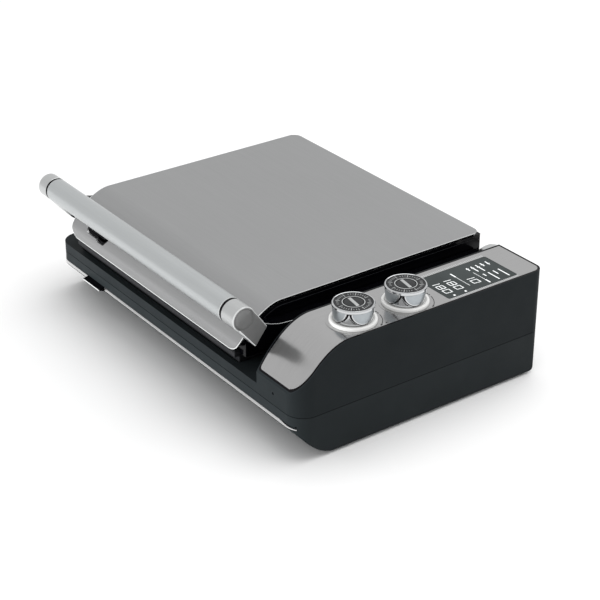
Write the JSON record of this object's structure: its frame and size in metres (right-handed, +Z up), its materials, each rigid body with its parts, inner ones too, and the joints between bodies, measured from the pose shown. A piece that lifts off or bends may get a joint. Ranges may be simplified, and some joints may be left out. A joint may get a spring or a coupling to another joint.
{
  "type": "waffle maker",
  "caption": "Countertop contact waffle maker: satin metal lid on side arms with a tube handle, dark casing, side control block with knobs and display, floating hinge.",
  "frame": {"origin": "on the worktop under the middle of the bounding box", "axes": "+X towards the control block, -Y towards the handle, +Z up"},
  "size_m": [0.4514, 0.357, 0.1404],
  "materials": {
    "satin_metal": "satin, fine grain",
    "handle_metal": "satin anodised",
    "chrome": "polished",
    "steel": "plain",
    "charcoal": "fine satin moulding",
    "black_gloss": "gloss",
    "black_matte": "matte",
    "nonstick": "dark release coating on cast aluminium",
    "white_light": "milky diffuser",
    "display": "smoked window with pale digits",
    "rubber": "matte",
    "board": "lacquered circuit board"
  },
  "bodies": {
    "base": {"control_panel": "satin_metal", "front_trim_strip": "handle_metal", "front_trim_strip_left": "handle_metal", "hinge_tower_left": "steel", "hinge_tower_right": "steel", "tower_screw_left_0": "steel", "tower_screw_left_1": "steel", "tower_screw_right_0": "steel", "tower_screw_right_1": "steel", "encoder_front": "steel", "encoder_rear": "steel", "lower_heating_element": "steel", "lower_reflector": "steel", "lower_casing": "charcoal", "upper_casing": "charcoal", "display_module": "black_matte", "power_inlet": "black_matte", "lower_waffle_plate": "nonstick", "light_ring_front": "white_light", "light_ring_rear": "white_light", "display_window": "display", "foot_front_left": "rubber", "foot_front_right": "rubber", "foot_rear_left": "rubber", "foot_rear_right": "rubber", "control_board": "board", "power_board": "board"},
    "hinge_carriage": {"hinge_shaft": "steel"},
    "lid": {"lid_cover": "satin_metal", "lid_frame": "black_gloss", "release_bezel": "black_gloss", "upper_waffle_plate": "nonstick", "upper_heating_element": "steel", "upper_reflector": "steel", "right_arm": "black_gloss", "left_arm": "black_gloss", "right_hinge_drum": "handle_metal", "left_hinge_drum": "handle_metal", "right_handle_bracket": "handle_metal", "left_handle_bracket": "handle_metal", "handle_tube": "handle_metal", "left_handle_ring": "black_matte", "right_handle_ring": "black_matte"},
    "upper_release": {"upper_plate_release": "black_matte"},
    "lower_release": {"lower_plate_release": "black_matte"},
    "front_knob": {"knob_front": "chrome", "dial_front": "black_gloss"},
    "rear_knob": {"knob_rear": "chrome", "dial_rear": "black_gloss"},
    "front_button": {"knob_button_front": "black_gloss"},
    "rear_button": {"knob_button_rear": "black_gloss"},
    "tray": {"drip_tray": "black_matte"}
  },
  "joints": [
    {"name": "hinge_float", "type": "slide", "parent": "base", "child": "hinge_carriage", "axis": [0, 0, 1], "range_m": [0, 0.014]},
    {"name": "lid_hinge", "type": "hinge", "parent": "hinge_carriage", "child": "lid", "pos_m": [0, 0.1525, 0.078], "axis": [-1, 0, 0], "range_deg": [0, 180]},
    {"name": "front_knob_turn", "type": "hinge", "parent": "base", "child": "front_knob", "pos_m": [0.1987, -0.0749, 0.1183], "axis": [0, 0, 1], "continuous": true},
    {"name": "rear_knob_turn", "type": "hinge", "parent": "base", "child": "rear_knob", "pos_m": [0.1987, -0.0125, 0.1183], "axis": [0, 0, 1], "continuous": true},
    {"name": "front_button_push", "type": "slide", "parent": "front_knob", "child": "front_button", "axis": [0, 0, -1], "range_m": [0, 0.001], "stiffness_N_per_m": 600, "springref_m": -0.0012},
    {"name": "rear_button_push", "type": "slide", "parent": "rear_knob", "child": "rear_button", "axis": [0, 0, -1], "range_m": [0, 0.001], "stiffness_N_per_m": 600, "springref_m": -0.0012},
    {"name": "upper_release_push", "type": "slide", "parent": "lid", "child": "upper_release", "axis": [0, 1, 0], "range_m": [0, 0.003], "stiffness_N_per_m": 600, "springref_m": -0.0012},
    {"name": "lower_release_push", "type": "slide", "parent": "base", "child": "lower_release", "axis": [1, 0, 0], "range_m": [0, 0.003], "stiffness_N_per_m": 600, "springref_m": -0.0012},
    {"name": "tray_slide", "type": "slide", "parent": "base", "child": "tray", "axis": [0, -1, 0], "range_m": [0, 0.2]}
  ]
}
